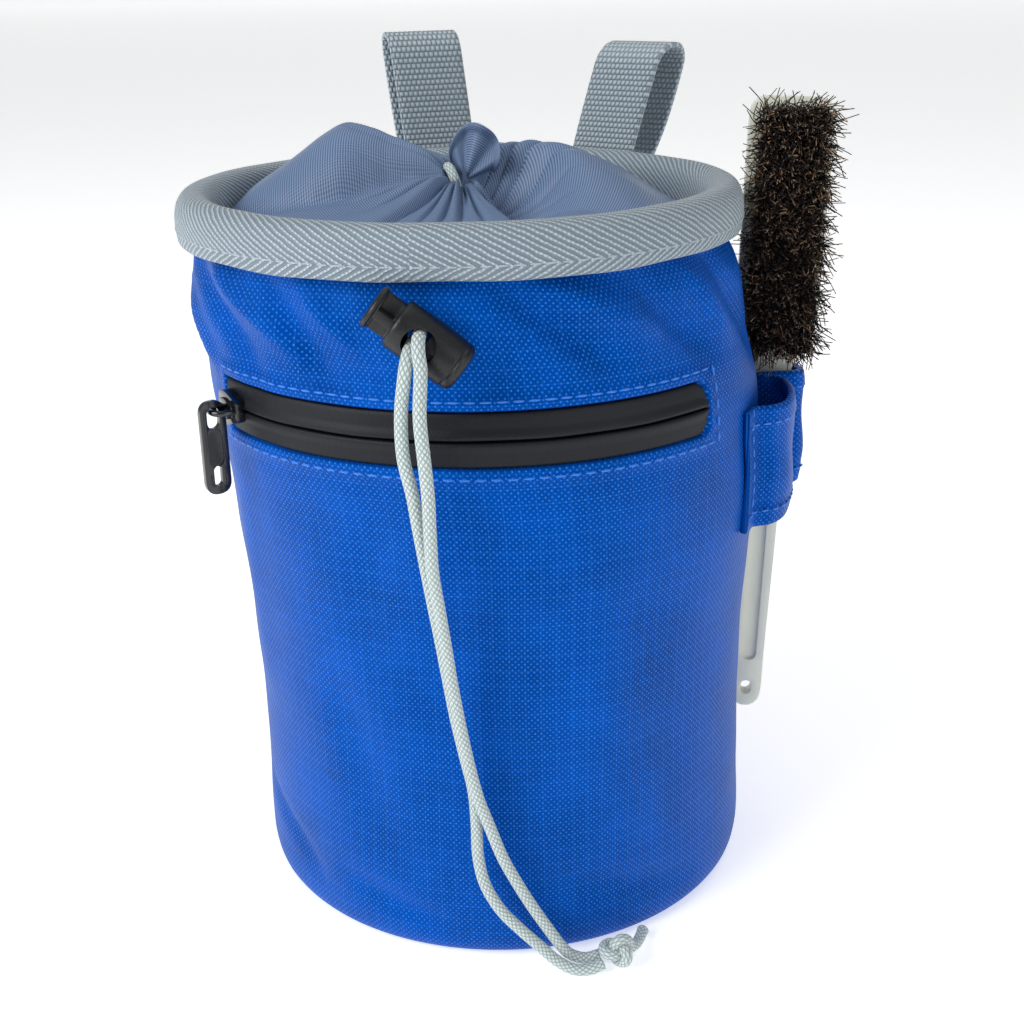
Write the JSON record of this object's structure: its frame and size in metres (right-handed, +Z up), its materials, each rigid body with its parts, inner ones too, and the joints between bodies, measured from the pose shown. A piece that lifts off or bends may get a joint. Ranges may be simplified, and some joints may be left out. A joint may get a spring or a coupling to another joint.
{
  "type": "climbing chalk bag with brush",
  "caption": "Round drawstring chalk bag with a bound rim, gathered lining closure, front zip pocket, belt loops, cord lock with knotted cord, and a brush in a side holder",
  "frame": {"origin": "centre of the base's underside", "axes": "+Z up through the mouth, -Y the front with the zip and the cord lock, +X the side with the brush"},
  "size_m": [0.1533, 0.1605, 0.203],
  "materials": {
    "shell_cloth": "matt woven nylon",
    "rim_webbing": "ribbed webbing",
    "loop_webbing": "coarse cross-ribbed webbing",
    "lining_cloth": "silky fine twill",
    "coated_tape": "matt coated zip tape",
    "lacquered_zinc": "gloss black lacquer",
    "lock_plastic": "satin fine-grained plastic",
    "drawcord": "braided cord",
    "handle_plastic": "translucent moulded plastic",
    "bristle": "stiff dark bristle"
  },
  "bodies": {
    "bag": {"bag_body": "shell_cloth", "rim_binding": "rim_webbing", "lining_closure": "lining_cloth", "zip_tape_upper": "coated_tape", "zip_tape_lower": "coated_tape", "zip_slider": "lacquered_zinc", "belt_loop_left": "loop_webbing", "belt_loop_right": "loop_webbing", "brush_holder": "shell_cloth", "cord_lock_barrel": "lock_plastic", "cord_left": "drawcord", "cord_right": "drawcord", "cord_knot": "drawcord"},
    "pull": {"zip_pull": "lacquered_zinc"},
    "plunger": {"cord_lock_plunger": "lock_plastic"},
    "brush": {"brush_handle": "handle_plastic", "brush_bristles": "bristle"}
  },
  "joints": [
    {"name": "zip_pull_swing", "type": "hinge", "parent": "bag", "child": "pull", "pos_m": [-0.05614, -0.04855, 0.1294], "axis": [-0.6679, 0.7442, 0], "range_deg": [0, 150]},
    {"name": "lock_plunger_press", "type": "slide", "parent": "bag", "child": "plunger", "axis": [0.7984, 0.0209, -0.6018], "range_m": [0, 0.003], "stiffness_N_per_m": 800, "springref_m": -0.002},
    {"name": "brush_draw", "type": "slide", "parent": "bag", "child": "brush", "axis": [0.0349, 0.0009, 0.9994], "range_m": [0, 0.09]}
  ]
}
